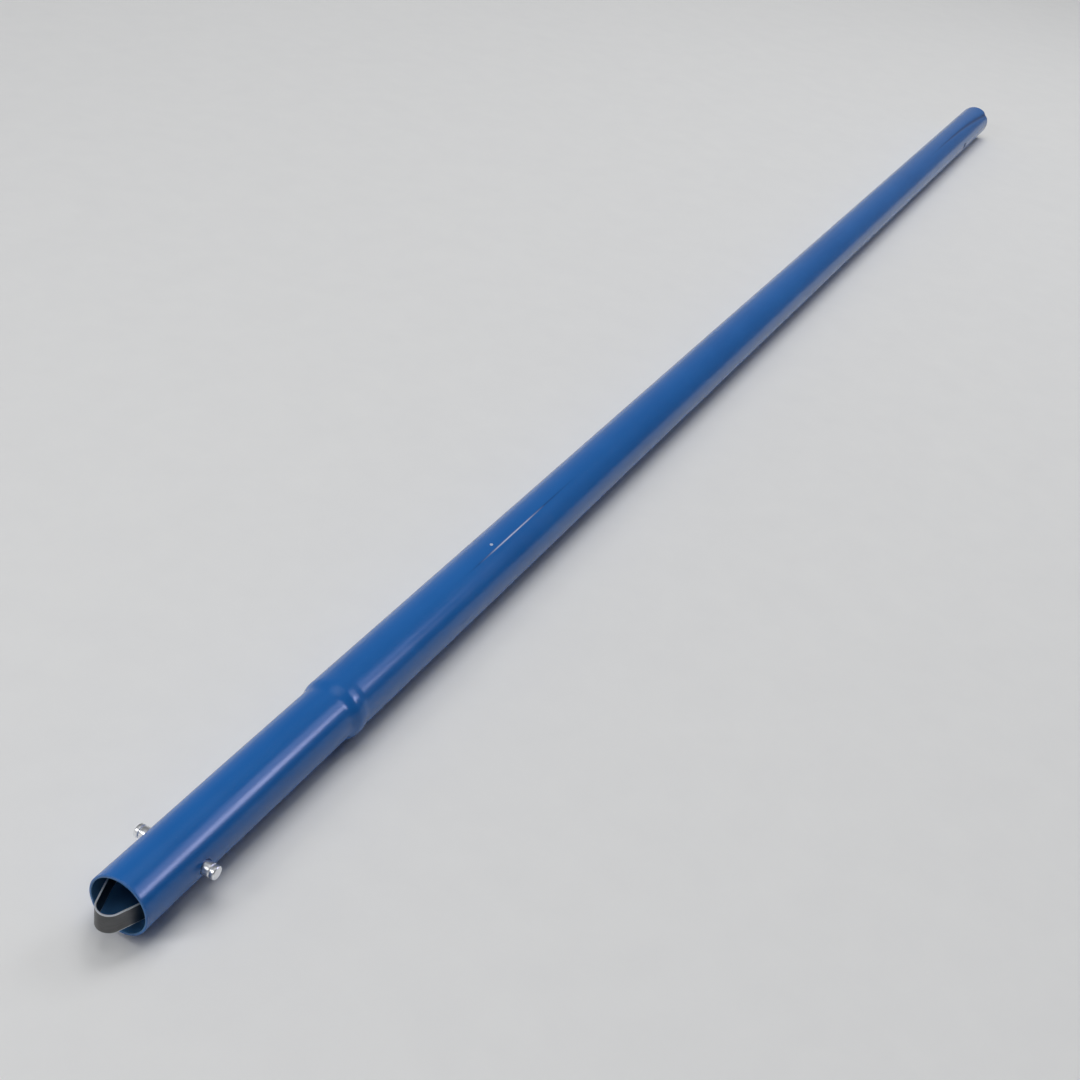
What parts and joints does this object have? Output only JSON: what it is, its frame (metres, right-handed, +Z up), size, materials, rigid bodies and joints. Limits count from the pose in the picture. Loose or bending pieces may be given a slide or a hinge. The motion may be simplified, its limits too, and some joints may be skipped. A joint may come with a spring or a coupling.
{
  "type": "boat hook pole section",
  "caption": "Blue painted steel boat-hook pole section: a swaged spigot with a shoulder and spring-loaded snap buttons at one end, and an open socket with matching holes at the other.",
  "frame": {"origin": "on the tube's axis at the foot of the spigot's shoulder, where the socket of the next section stops", "axes": "+X along the pole from the spigot to the open socket, +Y through the left snap button, +Z up with the pole lying flat and its buttons level"},
  "size_m": [1.4905, 0.0408, 0.0332],
  "materials": {
    "blue_paint": "semi-gloss mid-blue enamel on steel tube",
    "spring_steel": "satin grey spring steel",
    "plated_steel": "bright zinc-nickel plating"
  },
  "bodies": {
    "pole": {"pole_tube": "blue_paint", "spring_strip": "spring_steel"},
    "right_button": {"snap_button_right": "plated_steel"},
    "left_button": {"snap_button_left": "plated_steel"}
  },
  "joints": [
    {"name": "right_button_press", "type": "slide", "parent": "pole", "child": "right_button", "axis": [0, 1, 0], "range_m": [0, 0.0058], "stiffness_N_per_m": 3500, "springref_m": -0.001, "deforming": ["spring_strip"]},
    {"name": "left_button_press", "type": "slide", "parent": "pole", "child": "left_button", "axis": [0, -1, 0], "range_m": [0, 0.0058], "stiffness_N_per_m": 3500, "springref_m": -0.001, "deforming": ["spring_strip"]}
  ]
}
